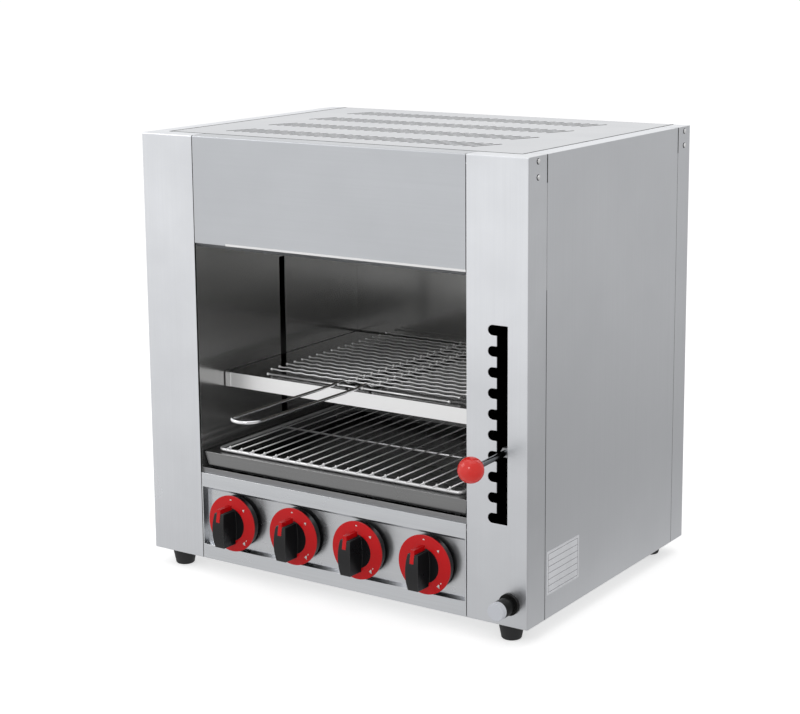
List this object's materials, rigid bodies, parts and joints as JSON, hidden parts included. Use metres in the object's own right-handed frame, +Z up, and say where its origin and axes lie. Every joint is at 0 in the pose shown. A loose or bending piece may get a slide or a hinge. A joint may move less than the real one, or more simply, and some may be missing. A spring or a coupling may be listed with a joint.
{
  "type": "gas cheese melter",
  "caption": "Countertop gas cheese melter with overhead burners, a lever-lifted rack with a pull-out grid, a drip tray with a grid, control knobs, an igniter and rubber feet.",
  "frame": {"origin": "on the surface that the feet stand on, under the middle of the whole machine's box", "axes": "+Z up, +Y out of the back along the gas inlet, +X to the right as seen from the front"},
  "size_m": [0.6524, 0.6836, 0.655],
  "materials": {
    "brushed_casing": "brushed stainless steel",
    "mirror_liner": "bright brushed stainless steel",
    "bright_sheet": "bright stainless sheet",
    "chromed_wire": "polished wire",
    "lever_steel": "dark bright rod",
    "zinc_steel": "zinc plated steel",
    "burner_steel": "dull stainless sheet",
    "ceramic": "fired ceramic",
    "brass": "machined brass",
    "gas_tube": "drawn tube",
    "black_plastic": "black moulded plastic",
    "red_plastic": "red moulded plastic",
    "grey_plastic": "grey moulded plastic",
    "matte_black": "matt black plastic",
    "rubber": "black rubber"
  },
  "bodies": {
    "casing": {"left_front_column": "brushed_casing", "right_front_column": "brushed_casing", "left_rear_column": "brushed_casing", "right_rear_column": "brushed_casing", "left_side_panel": "brushed_casing", "right_side_panel": "brushed_casing", "top_cover": "brushed_casing", "fascia": "brushed_casing", "back_panel": "brushed_casing", "base_pan": "zinc_steel", "feet": "rubber", "cavity_left_wall": "mirror_liner", "cavity_right_wall": "mirror_liner", "cavity_back_wall": "mirror_liner", "cavity_floor": "mirror_liner", "control_frame": "brushed_casing", "control_panel": "brushed_casing", "tray_runners": "zinc_steel", "burner_frame": "burner_steel", "burner_housings": "burner_steel", "burner_plaques": "ceramic", "mixing_tubes": "burner_steel", "injectors": "brass", "heat_shield": "burner_steel", "gas_manifold": "zinc_steel", "gas_valves": "brass", "gas_tubes": "gas_tube", "gas_inlet": "zinc_steel", "igniter_body": "matte_black", "igniter_bezel": "grey_plastic", "spark_electrode": "ceramic", "ignition_lead": "rubber", "guide_rods": "chromed_wire", "guide_brackets": "zinc_steel", "rivets": "bright_sheet", "screws": "bright_sheet"},
    "rack": {"carriage_left": "zinc_steel", "carriage_right": "zinc_steel", "carriage_bushes": "brass", "rack_tray": "bright_sheet"},
    "lever": {"lever_rod": "lever_steel", "lever_ball": "red_plastic", "lever_collar": "zinc_steel"},
    "upper_grid": {"upper_grid": "chromed_wire", "grid_handle": "chromed_wire"},
    "drip_tray": {"drip_tray": "bright_sheet"},
    "lower_grid": {"lower_grid": "chromed_wire"},
    "igniter_button": {"igniter_button": "grey_plastic"},
    "valve_stem_1": {"valve_stem_1": "brass"},
    "knob_1": {"knob_1": "black_plastic", "knob_ring_1": "red_plastic"},
    "valve_stem_2": {"valve_stem_2": "brass"},
    "knob_2": {"knob_2": "black_plastic", "knob_ring_2": "red_plastic"},
    "valve_stem_3": {"valve_stem_3": "brass"},
    "knob_3": {"knob_3": "black_plastic", "knob_ring_3": "red_plastic"},
    "valve_stem_4": {"valve_stem_4": "brass"},
    "knob_4": {"knob_4": "black_plastic", "knob_ring_4": "red_plastic"}
  },
  "joints": [
    {"name": "rack_lift", "type": "slide", "parent": "casing", "child": "rack", "axis": [0, 0, 1], "range_m": [-0.0566, 0.1698]},
    {"name": "lever_swing", "type": "hinge", "parent": "rack", "child": "lever", "pos_m": [0.292, 0.0368, 0.221], "axis": [0, -1, 0], "range_deg": [0, 17.6]},
    {"name": "upper_grid_pull", "type": "slide", "parent": "rack", "child": "upper_grid", "axis": [0, -1, 0], "range_m": [0, 0.2]},
    {"name": "drip_tray_slide", "type": "slide", "parent": "casing", "child": "drip_tray", "axis": [0, -1, 0], "range_m": [0, 0.25]},
    {"name": "lower_grid_lift", "type": "slide", "parent": "drip_tray", "child": "lower_grid", "axis": [0, 0, 1], "range_m": [0, 0.015]},
    {"name": "igniter_push", "type": "slide", "parent": "casing", "child": "igniter_button", "axis": [0, 1, 0], "range_m": [0, 0.006], "stiffness_N_per_m": 1500, "springref_m": -0.003},
    {"name": "knob_1_turn", "type": "hinge", "parent": "casing", "child": "valve_stem_1", "pos_m": [-0.168, -0.1272, 0.09], "axis": [0, -1, 0], "range_deg": [0, 138]},
    {"name": "knob_1_push", "type": "slide", "parent": "valve_stem_1", "child": "knob_1", "axis": [0, 1, 0], "range_m": [0, 0.0035], "stiffness_N_per_m": 900, "springref_m": -0.004},
    {"name": "knob_2_turn", "type": "hinge", "parent": "casing", "child": "valve_stem_2", "pos_m": [-0.056, -0.1272, 0.09], "axis": [0, -1, 0], "range_deg": [0, 138]},
    {"name": "knob_2_push", "type": "slide", "parent": "valve_stem_2", "child": "knob_2", "axis": [0, 1, 0], "range_m": [0, 0.0035], "stiffness_N_per_m": 900, "springref_m": -0.004},
    {"name": "knob_3_turn", "type": "hinge", "parent": "casing", "child": "valve_stem_3", "pos_m": [0.056, -0.1272, 0.09], "axis": [0, -1, 0], "range_deg": [0, 138]},
    {"name": "knob_3_push", "type": "slide", "parent": "valve_stem_3", "child": "knob_3", "axis": [0, 1, 0], "range_m": [0, 0.0035], "stiffness_N_per_m": 900, "springref_m": -0.004},
    {"name": "knob_4_turn", "type": "hinge", "parent": "casing", "child": "valve_stem_4", "pos_m": [0.168, -0.1272, 0.09], "axis": [0, -1, 0], "range_deg": [0, 138]},
    {"name": "knob_4_push", "type": "slide", "parent": "valve_stem_4", "child": "knob_4", "axis": [0, 1, 0], "range_m": [0, 0.0035], "stiffness_N_per_m": 900, "springref_m": -0.004}
  ]
}
